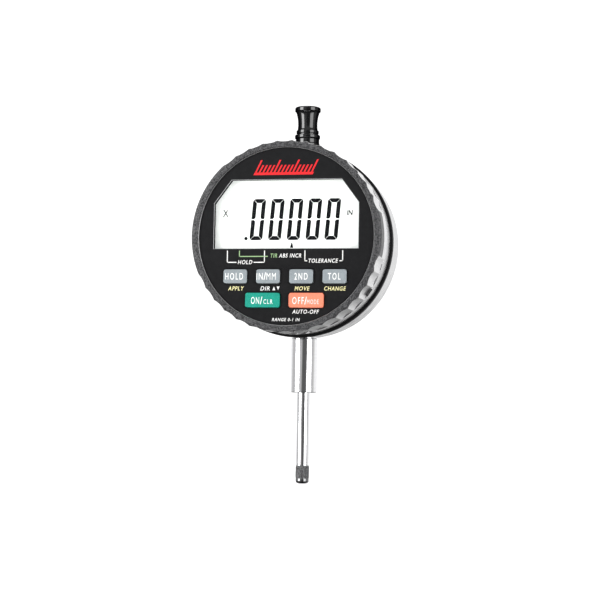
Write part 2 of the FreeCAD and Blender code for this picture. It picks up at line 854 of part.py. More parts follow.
def make_main_board():
    board_front = s.boss_front + s.board_thickness
    board = front_disc(s.board_radius, s.boss_front, board_front)
    holes = [front_disc(s.boss_hole, s.boss_front - 1, board_front + 1, x, up) for x, up in BOSS_PLACES]
    finish(cut(board, *holes), "main_board")
    heads = [front_disc(s.board_screw_head, board_front, board_front + s.board_screw_head_thickness, x, up)
             for x, up in BOSS_PLACES]
    shanks = [front_disc(s.screw_radius, board_front - s.board_screw_length, board_front, x, up)
              for x, up in BOSS_PLACES]
    finish(fuse(*heads, *shanks), "board_screws")
    half = s.chip_size / 2
    finish(front_box((-half, half), (-s.chip_offset - half, -s.chip_offset + half),
                     (board_front, board_front + s.chip_thickness)), "signal_chip")


def make_read_head():
    """The reading head on the main board, facing the scale across a small gap."""
    scale_front = s.carrier_front + s.scale_thickness
    finish(box((-s.head_half_width, s.head_half_width), (-s.boss_front, -scale_front - s.head_gap),
               (s.head_low, s.scale_high)), "read_head")


def make_battery_drawer():
    outer = front_box((-s.case_radius - 1, -s.drawer_end), (-s.drawer_half_width, s.drawer_half_width),
                      (s.drawer_rear, s.drawer_front))
    curved = common(outer, front_disc(s.case_radius, s.drawer_rear, s.drawer_front))
    seat = front_disc(s.battery_radius + s.battery_gap, s.drawer_rear - 1, s.drawer_rear + s.battery_thickness,
                      -s.battery_x)
    middle = (s.drawer_rear + s.drawer_front) / 2
    grip = front_box((-s.case_radius - 1, -s.case_radius + s.grip_depth), (-s.grip_half_width, s.grip_half_width),
                     (middle - s.grip_half_depth, middle + s.grip_half_depth))
    finish(cut(curved, seat, grip), "battery_drawer")
    finish(front_disc(s.battery_radius, s.drawer_rear, s.drawer_rear + s.battery_thickness, -s.battery_x), "battery")


def make_battery_cage():
    width = s.drawer_half_width + s.drawer_gap
    outside = width + s.cage_wall
    plate_front = s.drawer_rear - s.drawer_gap
    block = front_box((-s.cage_left, -s.cage_right), (-outside, outside),
                      (s.cage_rear, s.drawer_front + s.slot_gap))
    inside = front_box((-s.cage_left - 1, -s.drawer_end + s.slot_gap), (-width, width),
                       (plate_front, s.drawer_front + 1))
    finish(cut(block, inside), "battery_cage")
    leaf_front = plate_front + s.contact_leaf
    finish(front_box((-s.battery_x - s.contact_leaf_half, -s.battery_x + s.contact_leaf_half),
                     (-s.contact_leaf_half, s.contact_leaf_half), (plate_front, leaf_front)), "negative_contact")
    finish(front_box((-s.battery_x - s.contact_leaf_half, -s.battery_x + s.contact_leaf_half),
                     (s.rim_leaf_circle - s.rim_leaf_half, s.rim_leaf_circle + s.rim_leaf_half),
                     (plate_front, leaf_front)), "positive_contact")


def make_data_port():
    socket_x = (-s.socket_inner, -s.socket_inner + s.socket_depth)
    half = s.port_half_width - s.port_gap
    block = front_box(socket_x, (-half, half), (s.port_rear + s.port_gap, s.boss_front))
    mouth = front_box((-s.socket_inner - 1, -s.socket_inner + s.socket_depth - s.socket_wall),
                      (-half + s.socket_wall, half - s.socket_wall),
                      (s.port_rear + s.socket_wall, s.port_front - s.socket_wall / 2))
    finish(cut(block, mouth), "data_socket")
    rear = s.port_rear - s.port_cover_margin
    front = s.port_front + s.port_cover_margin
    skin_inner = s.housing_radius + s.fit_gap
    skin = common(front_box((-s.housing_radius - 2, ZERO), (-s.port_cover_half_width, s.port_cover_half_width),
                            (rear, front)),
                  tube(skin_inner, skin_inner + s.port_cover_thickness, rear, front))
    plug = front_box((-s.housing_radius, -s.housing_inner - s.port_gap), (-half, half),
                     (s.port_rear + s.port_gap, s.port_front - s.port_gap))
    finish(fuse(skin, plug), "port_cover")


def make_rotary_joint():
    oring = doc.addObject("Part::Torus", "ring")
    bind(oring, Radius1=s.oring_radius, Radius2=s.oring_section)
    place(oring, (ZERO, -s.oring_front, s.dial_height), FRONT_FACING)
    finish(oring, "friction_ring")
    points = [
        (s.retainer_inner, s.retainer_rear),
        (s.retainer_flange, s.retainer_rear),
        (s.retainer_flange, s.retainer_flange_front),
        (s.retainer_sleeve, s.retainer_flange_front),
        (s.retainer_sleeve, s.base_rear),
        (s.retainer_inner, s.base_rear),
    ]
    finish(dial_revolved("bezel_retainer", points), "bezel_retainer")
    finish(front_disc(s.stop_pin_radius, s.case_floor, s.retainer_rear, ZERO, s.stop_pin_circle), "stop_pin")
    body = new_body("rotation_stop", DIAL_AXIS, FRONT_FACING)
    sketch = new_sketch(body, "Outline", "XY_Plane", s.stop_rear)
    right = Size(-90, "-90") + s.stop_half_angle
    left = Size(-90, "-90") - s.stop_half_angle
    draw_outline(sketch, [around(s.stop_inner, left), around(s.case_throat, left),
                          around(s.case_throat, right), around(s.stop_inner, right)],
                 {1: s.case_throat, 3: -s.stop_inner})
    pad(body, sketch, s.stop_front - s.stop_rear)
    finish(body, "rotation_stop")


def ribbon_side(offset, half_turns, growth, tail):
    """One side of the ribbon's spiral: half circles whose radius grows, then a straight tail."""
    radius = sheet_size("ribbon_radius")
    end = radius
    edges = []
    for turn in range(half_turns):
        side = 1 if turn % 2 == 0 else -1
        centre = end - side * radius
        reach = side * (radius + offset)
        points = ((centre + reach, 0), (centre, reach), (centre - reach, 0))
        edges.append(Part.Arc(*[FreeCAD.Vector(x, y, 0) for x, y in points]).toShape())
        end -= 2 * side * radius
        radius += growth
    tail_start = FreeCAD.Vector(end + offset, 0, 0)
    edges.append(Part.makeLine(tail_start, tail_start + FreeCAD.Vector(0, tail, 0)))
    return edges


def make_flex_ribbon():
    """A flat ribbon wound as a spiral of half turns, with a straight tail down to the main board."""
    thick = sheet_size("ribbon_thickness")
    tail = 2 * sheet_size("ribbon_tail_half_width")
    half_turns = int(sheet_size("ribbon_half_turns"))
    rear = sheet_size("ribbon_rear")
    width = sheet_size("ribbon_front") - rear
    board_front = sheet_size("boss_front") + sheet_size("board_thickness")
    inner = ribbon_side(0, half_turns, sheet_size("ribbon_pitch") / 2, tail)
    outer = ribbon_side(thick, half_turns, sheet_size("ribbon_pitch") / 2, tail)
    start_line = Part.makeLine(inner[0].Vertexes[0].Point, outer[0].Vertexes[0].Point)
    end_line = Part.makeLine(inner[-1].Vertexes[1].Point, outer[-1].Vertexes[1].Point)
    outline = Part.Wire(Part.__sortEdges__(inner + outer + [start_line, end_line]))
    spiral = Part.Face(outline).extrude(FreeCAD.Vector(0, 0, width))
    tail_corner = FreeCAD.Vector(inner[-1].Vertexes[0].X, 0, board_front - rear)
    tail_block = Part.makeBox(thick, tail, rear - board_front, tail_corner)
    ribbon = doc.addObject("Part::Feature", "ribbon")
    ribbon.Shape = spiral.fuse(tail_block).removeSplitter()
    ribbon.Placement = FreeCAD.Placement(FreeCAD.Vector(0, -rear, sheet_size("dial_height")), FRONT_FACING)
    finish(ribbon, "flex_ribbon")


# ---- display head ---------------------------------------------------------------------------

def make_bezel():
    points = [
        (s.bezel_inner, s.bezel_rear),
        (s.bezel_radius, s.bezel_rear),
        (s.bezel_radius, s.bezel_front - s.bezel_chamfer),
        (s.bezel_radius - s.bezel_chamfer, s.bezel_front),
        (s.bezel_inner + s.bezel_inner_chamfer, s.bezel_front),
        (s.bezel_inner, s.bezel_front - s.bezel_inner_chamfer),
    ]
    ring = dial_revolved("bezel_ring", points)
    groups = ((s.flute_upper_first, s.flute_upper_count), (s.flute_lower_first, s.flute_lower_count))
    for number, (first, count) in enumerate(groups):
        sketch = new_sketch(ring, f"Flute{number}", "XY_Plane", s.bezel_front)
        draw_circle(sketch, around(s.bezel_radius + s.flute_radius - s.flute_depth, first), s.flute_radius)
        groove = pocket(ring, sketch, s.bezel_front - s.bezel_rear)
        polar(ring, groove, "Z_Axis", count, s.flute_pitch * (count - 1))
    foot = box((s.tongue_low, s.tongue_high), (-s.tongue_front, -s.tongue_rear),
               (-s.tongue_half_width, s.tongue_half_width))
    root = box((s.bezel_inner + 1, s.tongue_high), (-s.tongue_front, -s.bezel_rear),
               (-s.tongue_half_width, s.tongue_half_width))
    tongue = fuse(foot, root)
    turned = FreeCAD.Rotation(FreeCAD.Vector(0, -1, 0), DRIVING["tongue_angle"])
    place(tongue, DIAL_AXIS, turned)
    finish(fuse(ring, tongue), "bezel")


KEYS = (
    [(f"key_function_{number + 1}", s.key_small_pitch * (number - 1.5), s.key_small_up,
      s.key_small_half_width, s.key_small_half_height) for number in range(4)]
    + [("key_on", -s.key_large_pitch / 2, s.key_large_up, s.key_large_half_width, s.key_large_half_height),
       ("key_off", s.key_large_pitch / 2, s.key_large_up, s.key_large_half_width, s.key_large_half_height)]
)


def make_face_panel():
    rear = s.face_front - s.face_thickness
    body = new_body("face_panel", DIAL_AXIS, FRONT_FACING)
    disc = new_sketch(body, "Disc", "XY_Plane", rear)
    draw_circle(disc, (ZERO, ZERO), s.face_radius)
    pad(body, disc, s.face_thickness)
    openings = new_sketch(body, "Openings", "XY_Plane", s.face_front)
    draw_outline(openings, window_points(ZERO))
    for _, x, up, half_width, half_height in KEYS:
        draw_rounded_rectangle(openings, (x, up), half_width + s.key_gap, half_height + s.key_gap,
                               s.key_corner + s.key_gap)
    pocket(body, openings, s.face_thickness)
    finish(body, "face_panel")


def make_keys():
    """Each key is a cap with a flange that stays behind the face, and a plunger to the board."""
    flange_rear = s.key_flange_front - s.key_flange_thickness
    for label, x, up, half_width, half_height in KEYS:
        body = new_body(label, (x, ZERO, s.dial_height + up), FRONT_FACING)
        cap = new_sketch(body, "Cap", "XY_Plane", flange_rear)
        draw_rounded_rectangle(cap, (ZERO, ZERO), half_width, half_height, s.key_corner)
        pad(body, cap, s.key_front - flange_rear)
        flange = new_sketch(body, "Flange", "XY_Plane", flange_rear)
        draw_rounded_rectangle(flange, (ZERO, ZERO), half_width + s.key_flange_growth,
                               half_height + s.key_flange_growth, s.key_corner)
        pad(body, flange, s.key_flange_thickness)
        plunger = new_sketch(body, "Plunger", "XY_Plane", s.key_plunger_rear)
        draw_circle(plunger, (ZERO, ZERO), s.key_plunger_radius)
        pad(body, plunger, flange_rear - s.key_plunger_rear)
        finish(body, label)


def make_key_mat():
    front = s.mat_rear + s.mat_thickness
    plate = common(front_disc(s.board_radius, s.mat_rear, front),
                   front_box((-s.board_radius, s.board_radius), (s.mat_low, s.mat_high), (s.mat_rear, front)))
    holes = [front_disc(s.mat_hole_radius, s.mat_rear - 1, front + 1, x, up) for _, x, up, _, _ in KEYS]
    finish(cut(plate, *holes), "key_mat")


def make_display():
    lens_front = s.face_front - s.face_thickness
    glass_front = lens_front - s.lens_thickness - s.layer_gap
    glass_rear = glass_front - s.glass_thickness
    window_plate("window_lens", s.lens_growth, lens_front - s.lens_thickness, s.lens_thickness)
    window_plate("display_glass", s.glass_growth, glass_rear, s.glass_thickness)
    window_plate("diffuser", s.diffuser_growth, glass_rear - s.layer_gap - s.diffuser_thickness, s.diffuser_thickness)
    finish(front_box((-s.zebra_half_length, s.zebra_half_length), (s.window_low, s.window_low + s.zebra_width),
                     (s.display_board_front, glass_rear)), "elastomer_strip")
    board_rear = s.display_board_front - s.board_thickness
    finish(front_disc(s.display_board_radius, board_rear, s.display_board_front), "display_board")
    half = s.chip_size / 2
    finish(front_box((-half, half), (s.display_chip_height - half, s.display_chip_height + half),
                     (board_rear - s.chip_thickness, board_rear)), "display_chip")
    finish(tube(s.base_inner, s.base_radius, s.base_rear, s.base_rear + s.base_thickness), "bezel_base")


def make_all():
    make_spindle()
    make_contact_point()
    make_lift_knob()
    finish(post(s.knob_stud_radius, s.knob_stud_low, s.knob_stud_high), "knob_stud")
    make_carrier()
    make_scale()
    make_return_spring()
    make_stem()
    make_bushings()
    make_guides()
    make_front_case()
    make_seal_ring()
    make_rear_housing()
    make_back_cover()
    make_cover_screws()
    make_main_board()
    make_read_head()
    make_battery_drawer()
    make_battery_cage()
    make_data_port()
    make_rotary_joint()
    make_flex_ribbon()
    make_bezel()
    make_face_panel()
    make_keys()
    make_key_mat()
    make_display()


def check_and_write():
    doc.recompute()
    for item in doc.Objects:
        if "Invalid" in item.State or "Error" in item.State:
            raise RuntimeError(f"{item.Label} failed: {item.State}")
    os.makedirs("parts", exist_ok=True)
    for item in SUBPARTS:
        if item.Shape.isNull() or not item.Shape.isValid():
            raise RuntimeError(f"{item.Label} has no valid shape")
        item.Shape.exportStep(os.path.join("parts", f"{item.Label}.step"))
        print(f"{item.Label:20s} {item.Shape.Volume:10.1f} mm3  {len(item.Shape.Solids)} solid")


make_all()
check_and_write()
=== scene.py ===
import json
import math

import bpy
from mathutils import Matrix, Vector


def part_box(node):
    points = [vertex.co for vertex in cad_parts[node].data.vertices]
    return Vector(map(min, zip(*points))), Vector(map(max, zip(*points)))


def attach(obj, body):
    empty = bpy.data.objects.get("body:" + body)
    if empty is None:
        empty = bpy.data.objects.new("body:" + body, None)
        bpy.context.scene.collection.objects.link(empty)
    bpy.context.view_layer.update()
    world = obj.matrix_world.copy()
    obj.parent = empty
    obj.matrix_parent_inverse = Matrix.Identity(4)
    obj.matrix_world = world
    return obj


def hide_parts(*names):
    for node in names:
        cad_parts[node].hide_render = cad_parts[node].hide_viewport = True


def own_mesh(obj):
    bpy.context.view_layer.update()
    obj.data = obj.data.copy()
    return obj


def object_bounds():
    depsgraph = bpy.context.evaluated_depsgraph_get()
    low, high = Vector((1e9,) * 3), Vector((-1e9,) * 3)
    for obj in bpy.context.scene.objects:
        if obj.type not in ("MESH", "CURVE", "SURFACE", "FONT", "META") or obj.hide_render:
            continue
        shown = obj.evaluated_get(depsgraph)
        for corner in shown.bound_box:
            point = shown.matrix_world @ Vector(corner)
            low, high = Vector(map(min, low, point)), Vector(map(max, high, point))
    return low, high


# Looks of an electronic dial indicator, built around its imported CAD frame.
#
# Lengths are metres in the row frame: the spindle runs along Z and the display faces -Y.
# "front" is the distance in front of the spindle axis, so a face at front 0.0342 is at y = -0.0342.
# Graphics are laid out in millimetres from the dial's centre: x to the right, up along Z.

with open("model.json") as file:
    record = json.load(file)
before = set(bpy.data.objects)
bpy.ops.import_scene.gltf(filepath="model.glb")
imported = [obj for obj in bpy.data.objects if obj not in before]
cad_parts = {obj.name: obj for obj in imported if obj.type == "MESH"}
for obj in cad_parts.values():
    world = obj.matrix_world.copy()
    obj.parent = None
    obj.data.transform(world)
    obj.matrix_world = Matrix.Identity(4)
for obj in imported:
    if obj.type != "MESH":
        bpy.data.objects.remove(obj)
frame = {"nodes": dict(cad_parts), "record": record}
cad_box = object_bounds()
nodes = frame["nodes"]
scene = bpy.context.scene

MM = 0.001
PRINT_DEPTH = 0.03 * MM
DIAL = Vector((0.0, 0.0, 0.0524))
FACE_FRONT = -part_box("face_panel")[0].y
GLASS_FRONT = -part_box("display_glass")[0].y
KEY_FRONT = -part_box("key_on")[0].y


# ---- materials ------------------------------------------------------------------------------

class Finish:
    """A procedural material: one principled shader and the nodes that drive it."""

    def __init__(self, name, colour, roughness, **sockets):
        self.material = bpy.data.materials.new(name)
        self.material.use_nodes = True
        self.tree = self.material.node_tree
        self.shader = self.tree.nodes["Principled BSDF"]
        self.shader.inputs["Base Color"].default_value = (*colour, 1.0)
        self.shader.inputs["Roughness"].default_value = roughness
        for socket, value in sockets.items():
            self.shader.inputs[socket.replace("_", " ")].default_value = value
        self.colour = colour
        self.roughness = roughness
        self.normal = None

    def node(self, kind, **settings):
        made = self.tree.nodes.new(kind)
        for name, value in settings.items():
            setattr(made, name, value)
        return made

    def feed(self, source, socket):
        self.tree.links.new(source, socket)

    def vector(self, operation, source, amount=None):
        made = self.node("ShaderNodeVectorMath", operation=operation)
        self.feed(source, made.inputs[0])
        if amount is not None:
            made.inputs[1].default_value = amount
        return made

    def points(self, stretch=(1.0, 1.0, 1.0)):
        """The object's own coordinates, stretched along each axis."""
        place = self.node("ShaderNodeTexCoord").outputs["Object"]
        return self.vector("MULTIPLY", place, stretch).outputs["Vector"]

    def ring_points(self, centre, axis):
        """Coordinates that stay the same around an axis: distance from it, then place along it."""
        place = self.node("ShaderNodeTexCoord").outputs["Object"]
        place = self.vector("SUBTRACT", place, centre).outputs["Vector"]
        along = self.vector("DOT_PRODUCT", place, axis).outputs["Value"]
        across = self.vector("MULTIPLY", place, [1.0 - part for part in axis]).outputs["Vector"]
        reach = self.vector("LENGTH", across).outputs["Value"]
        made = self.node("ShaderNodeCombineXYZ")
        self.feed(reach, made.inputs["X"])
        self.feed(along, made.inputs["Y"])
        return made.outputs["Vector"]

    def noise(self, points, size, detail=2.0):
        """Noise whose features are about the given size."""
        made = self.node("ShaderNodeTexNoise")
        made.inputs["Scale"].default_value = 1.0 / size
        made.inputs["Detail"].default_value = detail
        self.feed(points, made.inputs["Vector"])
        return made.outputs["Fac"]

    def cells(self, points, size, feature="DISTANCE_TO_EDGE"):
        made = self.node("ShaderNodeTexVoronoi", feature=feature)
        made.inputs["Scale"].default_value = 1.0 / size
        self.feed(points, made.inputs["Vector"])
        return made.outputs["Distance"]

    def stripes(self, points, period, direction):
        made = self.node("ShaderNodeTexWave", bands_direction=direction)
        made.inputs["Scale"].default_value = math.pi / (10.0 * period)
        self.feed(points, made.inputs["Vector"])
        return made.outputs["Fac"]

    def spread(self, value, start, end, low, high):
        """The value's range from start to end, spread over low to high."""
        made = self.node("ShaderNodeMapRange")
        for socket, amount in zip(("From Min", "From Max", "To Min", "To Max"), (start, end, low, high)):
            made.inputs[socket].default_value = amount
        self.feed(value, made.inputs["Value"])
        return made.outputs["Result"]

    def part(self, vector, letter):
        made = self.node("ShaderNodeSeparateXYZ")
        self.feed(vector, made.inputs["Vector"])
        return made.outputs[letter]

    def math(self, operation, first, second=None):
        made = self.node("ShaderNodeMath", operation=operation)
        self.feed(first, made.inputs[0])
        if second is not None:
            self.feed(second, made.inputs[1])
        return made.outputs["Value"]

    def mix(self, value, dark, light, start=0.3, end=0.7):
        """A colour between two colours."""
        made = self.node("ShaderNodeValToRGB")
        made.color_ramp.elements[0].position = start
        made.color_ramp.elements[0].color = (*dark, 1.0)
        made.color_ramp.elements[1].position = end
        made.color_ramp.elements[1].color = (*light, 1.0)
        self.feed(value, made.inputs["Fac"])
        return made.outputs["Color"]

    def tint(self, value, dark, light, start=0.3, end=0.7):
        """Base colour between two colours."""
        self.feed(self.mix(value, dark, light, start, end), self.shader.inputs["Base Color"])

    def shade(self, value, share, start=0.3, end=0.7):
        """Base colour that varies by a share either side of the finish's own colour."""
        dark = [part * (1.0 - share) for part in self.colour]
        light = [min(1.0, part * (1.0 + share)) for part in self.colour]
        self.tint(value, dark, light, start, end)

    def gloss(self, value, change, start=0.3, end=0.7):
        """Roughness that varies by a change either side of the finish's own."""
        low = max(0.01, self.roughness - change)
        spread = self.spread(value, start, end, low, self.roughness + change)
        self.feed(spread, self.shader.inputs["Roughness"])

    def relief(self, value, depth):
        """Fine surface relief; several of them add up."""
        made = self.node("ShaderNodeBump")
        made.inputs["Strength"].default_value = 1.0
        made.inputs["Distance"].default_value = depth
        self.feed(value, made.inputs["Height"])
        if self.normal is not None:
            self.feed(self.normal, made.inputs["Normal"])
        self.normal = made.outputs["Normal"]
        self.feed(self.normal, self.shader.inputs["Normal"])


SPINDLE_AXIS = ((0.0, 0.0, 0.0), (0.0, 0.0, 1.0))
DIAL_AXIS = (tuple(DIAL), (0.0, 1.0, 0.0))
BATTERY_AXIS = ((-0.017, 0.0, DIAL.z), (0.0, 1.0, 0.0))

# The bezel's two smooth pads: the angle of a pad's middle, in degrees from +X towards +Z, and the
# distance along that angle, in millimetres, beyond which the side keeps the dark colour.
RIGHT_PAD = (1.25, 31.80)
LEFT_PAD = (167.7, 26.62)
# The coating reaches back to COAT_REAR in front of the spindle axis. Bare metal starts outside
# SIDE_RADIUS. Inside the inner radius, a faint ring of metal colour on the front is a painted highlight along
# the bezel's inner edge. EDGE_BLUR is half the width of the soft border at SIDE_RADIUS and at the pads.
COAT_REAR = 28.6
SIDE_RADIUS = 31.45
INNER_HIGHLIGHT_RADIUS = 30.20
EDGE_BLUR = 0.05


def turned_metal(name, colour, roughness, axis, line, depth, share=0.05, change=0.05):
    """Metal with fine lathe or grinding lines around an axis, and soft handling marks."""
    made = Finish(name, colour, roughness, Metallic=1.0)
    lines = made.noise(made.ring_points(*axis), line, 3.0)
    made.shade(lines, share)
    made.relief(lines, depth)
    made.gloss(made.noise(made.points(), 3.5 * MM, 4.0), change)
    return made


def plain_metal(name, colour, roughness, grain=0.25 * MM, depth=0.002 * MM):
    made = Finish(name, colour, roughness, Metallic=1.0)
    marks = made.noise(made.points(), grain, 4.0)
    made.shade(marks, 0.08)
    made.relief(marks, depth)
    made.gloss(made.noise(made.points(), 2.0 * MM, 3.0), 0.06)
    return made


def plastic(name, colour, roughness, grain, depth, share=0.10, change=0.05, **sockets):
    """Moulded plastic, rubber or ink: fine surface grain and slight cloudiness."""
    made = Finish(name, colour, roughness, **sockets)
    fine = made.noise(made.points(), grain, 3.0)
    made.shade(made.noise(made.points(), 14.0 * grain, 4.0), share)
    made.gloss(fine, change)
    made.relief(fine, depth)
    return made


def bezel_finish():
    """Dark textured coating on the front, the same dark colour on the two pads, bright metal on the rest of
    the fluted side, and a painted highlight round the inner edge.
    """
    made = Finish("bezel_charcoal", (0.20, 0.20, 0.205), 0.40)
    speckle = made.noise(made.points(), 0.42 * MM, 5.0)
    dark_tone = made.mix(speckle, (0.020, 0.020, 0.021), (0.145, 0.145, 0.150), 0.34, 0.66)
    brushing = made.noise(made.points((1.0, 0.15, 1.0)), 0.2 * MM, 3.0)
    bare = made.mix(brushing, (0.76, 0.76, 0.765), (0.92, 0.92, 0.925), 0.30, 0.70)
    place = made.ring_points(*DIAL_AXIS)
    reach = made.part(place, "X")
    facing = made.part(made.node("ShaderNodeTexCoord").outputs["Normal"], "Y")
    sideways = made.spread(facing, -0.66, -0.55, 0.0, 1.0)
    outside = made.spread(reach, (SIDE_RADIUS - EDGE_BLUR) * MM, (SIDE_RADIUS + EDGE_BLUR) * MM, 0.0, 1.0)
    centred = made.vector("SUBTRACT", made.node("ShaderNodeTexCoord").outputs["Object"], tuple(DIAL))
    pads = []
    for angle, edge in (RIGHT_PAD, LEFT_PAD):
        way = (math.cos(math.radians(angle)), 0.0, math.sin(math.radians(angle)))
        toward = made.vector("DOT_PRODUCT", centred.outputs["Vector"], way).outputs["Value"]
        pads.append(made.spread(toward, (edge - EDGE_BLUR) * MM, (edge + EDGE_BLUR) * MM, 1.0, 0.0))
    off_pads = made.math("MINIMUM", *pads)
    along = made.part(place, "Y")
    behind_coat = made.spread(along, -(COAT_REAR + 0.1) * MM, -(COAT_REAR - 0.1) * MM, 0.0, 1.0)
    light_side = made.math("MAXIMUM", off_pads, behind_coat)
    cut = made.math("MULTIPLY", made.math("MULTIPLY", sideways, outside), light_side)
    # A faint ring of metal colour on the front, just inside the inner edge: a painted highlight.
    inside = made.spread(reach, (INNER_HIGHLIGHT_RADIUS - 0.04) * MM, (INNER_HIGHLIGHT_RADIUS + 0.04) * MM, 0.45, 0.0)
    inner_highlight = made.math("MULTIPLY", inside, made.spread(facing, -0.30, -0.20, 1.0, 0.0))
    metal_and_highlight = made.math("MAXIMUM", cut, inner_highlight)
    blend = made.node("ShaderNodeMix", data_type="RGBA")
    made.feed(metal_and_highlight, blend.inputs["Factor"])
    made.feed(dark_tone, blend.inputs["A"])
    made.feed(bare, blend.inputs["B"])
    made.feed(blend.outputs["Result"], made.shader.inputs["Base Color"])
    made.feed(made.spread(metal_and_highlight, 0.0, 1.0, 0.35, 1.0), made.shader.inputs["Metallic"])
    made.relief(speckle, 0.03 * MM)
    made.gloss(made.noise(made.points(), 2.5 * MM, 3.0), 0.05)
    return made


def knob_finish():
    """Glossy black whose reflection is cut back towards its outline, which is painted shade; the highlights
    in front stay.
    """
    made = plastic("knob_black", (0.004, 0.004, 0.005), 0.08, 0.35 * MM, 0.0008 * MM, change=0.02)
    weight = made.node("ShaderNodeLayerWeight")
    weight.inputs["Blend"].default_value = 0.5
    # Reflection fades out towards the outline: painted shade at the knob's edges.
    shine = made.spread(weight.outputs["Facing"], 0.18, 0.40, 1.0, 0.0)
    made.feed(shine, made.shader.inputs["Specular IOR Level"])
    return made


def board_finish():
    made = Finish("board_green", (0.02, 0.16, 0.06), 0.32, Coat_Weight=0.3)
    tracks = made.cells(made.points(), 1.8 * MM)
    made.tint(tracks, (0.045, 0.26, 0.10), (0.010, 0.11, 0.04), 0.10, 0.14)
    made.relief(tracks, 0.02 * MM)
    return made


def ribbon_finish():
    made = Finish("ribbon_amber", (0.40, 0.17, 0.03), 0.30, Coat_Weight=0.4)
    tracks = made.stripes(made.points(), 0.5 * MM, "Y")
    made.tint(tracks, (0.42, 0.17, 0.03), (0.62, 0.30, 0.10), 0.45, 0.55)
    return made


def scale_finish():
    made = Finish("scale_glass", (0.45, 0.48, 0.50), 0.12, Metallic=0.4)
    marks = made.stripes(made.points(), 0.4 * MM, "Z")
    made.tint(marks, (0.10, 0.11, 0.12), (0.70, 0.74, 0.76), 0.48, 0.52)
    return made


def bronze_finish():
    made = Finish("bronze", (0.50, 0.30, 0.12), 0.38, Metallic=1.0)
    pores = made.noise(made.points(), 0.12 * MM, 2.0)
    made.tint(pores, (0.16, 0.09, 0.04), (0.58, 0.36, 0.15), 0.36, 0.46)
    made.relief(pores, 0.01 * MM)
    return made


def lens_finish():
    """A clear acrylic window: mostly see-through, with a faint film of wear."""
    made = Finish("lens_clear", (0.03, 0.03, 0.03), 0.04, Alpha=0.06)
    film = made.noise(made.points(), 4.0 * MM, 4.0)
    made.gloss(film, 0.02)
    return made


def display_finish():
    made = Finish("display_white", (0.84, 0.86, 0.84), 0.42)
    made.shade(made.noise(made.points(), 0.12 * MM, 2.0), 0.02)
    # The emission is painted light: the display glows and stays white even where its recess shades it.
    made.shader.inputs["Emission Color"].default_value = (0.95, 1.0, 0.97, 1.0)
    made.shader.inputs["Emission Strength"].default_value = 0.40
    return made


finishes = {
    "polished_steel": turned_metal("polished_steel", (0.86, 0.86, 0.87), 0.12, SPINDLE_AXIS, 0.16 * MM,
                                   0.0002 * MM, change=0.03),
    "dark_steel": plain_metal("dark_steel", (0.24, 0.24, 0.245), 0.20),
    "knob_black": knob_finish(),
    "case_silver": turned_metal("case_silver", (0.66, 0.66, 0.665), 0.28, DIAL_AXIS, 0.16 * MM, 0.003 * MM),
    "inner_aluminium": plain_metal("inner_aluminium", (0.72, 0.73, 0.74), 0.34),
    "bronze": bronze_finish(),
    "seal_rubber": plastic("seal_rubber", (0.008, 0.008, 0.009), 0.50, 0.18 * MM, 0.006 * MM,
                           Specular_IOR_Level=0.25),
    "screw_steel": plain_metal("screw_steel", (0.48, 0.48, 0.49), 0.30),
    "board_green": board_finish(),
    "chip_black": plastic("chip_black", (0.018, 0.018, 0.020), 0.42, 0.10 * MM, 0.006 * MM),
    "inner_plastic": plastic("inner_plastic", (0.045, 0.046, 0.048), 0.46, 0.14 * MM, 0.008 * MM),
    "battery_steel": turned_metal("battery_steel", (0.70, 0.70, 0.68), 0.22, BATTERY_AXIS, 0.20 * MM,
                                  0.002 * MM),
    "contact_brass": plain_metal("contact_brass", (0.76, 0.55, 0.22), 0.26),
    "ribbon_amber": ribbon_finish(),
    "bezel_charcoal": bezel_finish(),
    "face_black": plastic("face_black", (0.017, 0.017, 0.018), 0.45, 0.12 * MM, 0.004 * MM,
                          Specular_IOR_Level=0.08),
    "key_grey": plastic("key_grey", (0.245, 0.272, 0.287), 0.28, 0.16 * MM, 0.003 * MM, share=0.06,
                        Specular_IOR_Level=0.7),
    "key_teal": plastic("key_teal", (0.004, 0.265, 0.20), 0.28, 0.16 * MM, 0.003 * MM, share=0.06,
                        Specular_IOR_Level=0.7),
    "key_coral": plastic("key_coral", (0.72, 0.225, 0.14), 0.28, 0.16 * MM, 0.003 * MM, share=0.05,
                         Specular_IOR_Level=0.7),
    "lens_clear": lens_finish(),
    "display_white": display_finish(),
    "scale_glass": scale_finish(),
    "diffuser_white": plastic("diffuser_white", (0.80, 0.80, 0.78), 0.40, 0.20 * MM, 0.003 * MM, share=0.03),
}

inks = {
    "white": plastic("ink_white", (0.70, 0.70, 0.69), 0.50, 0.10 * MM, 0.002 * MM, share=0.06),
    "yellow": plastic("ink_yellow", (0.70, 0.66, 0.36), 0.50, 0.10 * MM, 0.002 * MM, share=0.06),
    "green": plastic("ink_green", (0.28, 0.42, 0.22), 0.50, 0.10 * MM, 0.002 * MM, share=0.06),
    "red": plastic("ink_red", (0.62, 0.012, 0.018), 0.45, 0.10 * MM, 0.002 * MM, share=0.08),
    "liquid": plastic("ink_liquid", (0.006, 0.007, 0.009), 0.45, 0.30 * MM, 0.001 * MM, share=0.10,
                      Specular_IOR_Level=0.15),
    "ghost": plastic("ink_ghost", (0.16, 0.16, 0.16), 0.50, 0.30 * MM, 0.001 * MM, share=0.10),
    # Light grey for the ring that paints a highlight along the window's front edge.
    "edge_highlight": plastic("edge_highlight_grey", (0.30, 0.303, 0.307), 0.30, 0.15 * MM, 0.003 * MM, share=0.08),
}


# ---- finishing the CAD nodes ------------------------------------------------------------------

def soften(item, width, steps=2):
    """Rounded edges on a CAD node, without touching its mesh."""
    weld = item.modifiers.new("weld", "WELD")
    weld.merge_threshold = 0.0005 * MM
    edge = item.modifiers.new("edges", "BEVEL")
    edge.width = width
    edge.segments = steps
    edge.limit_method = "ANGLE"
    edge.angle_limit = math.radians(32)
    edge.use_clamp_overlap = True
    edge.miter_outer = "MITER_ARC"
    normals = item.modifiers.new("normals", "WEIGHTED_NORMAL")
    normals.keep_sharp = False
    normals.weight = 80


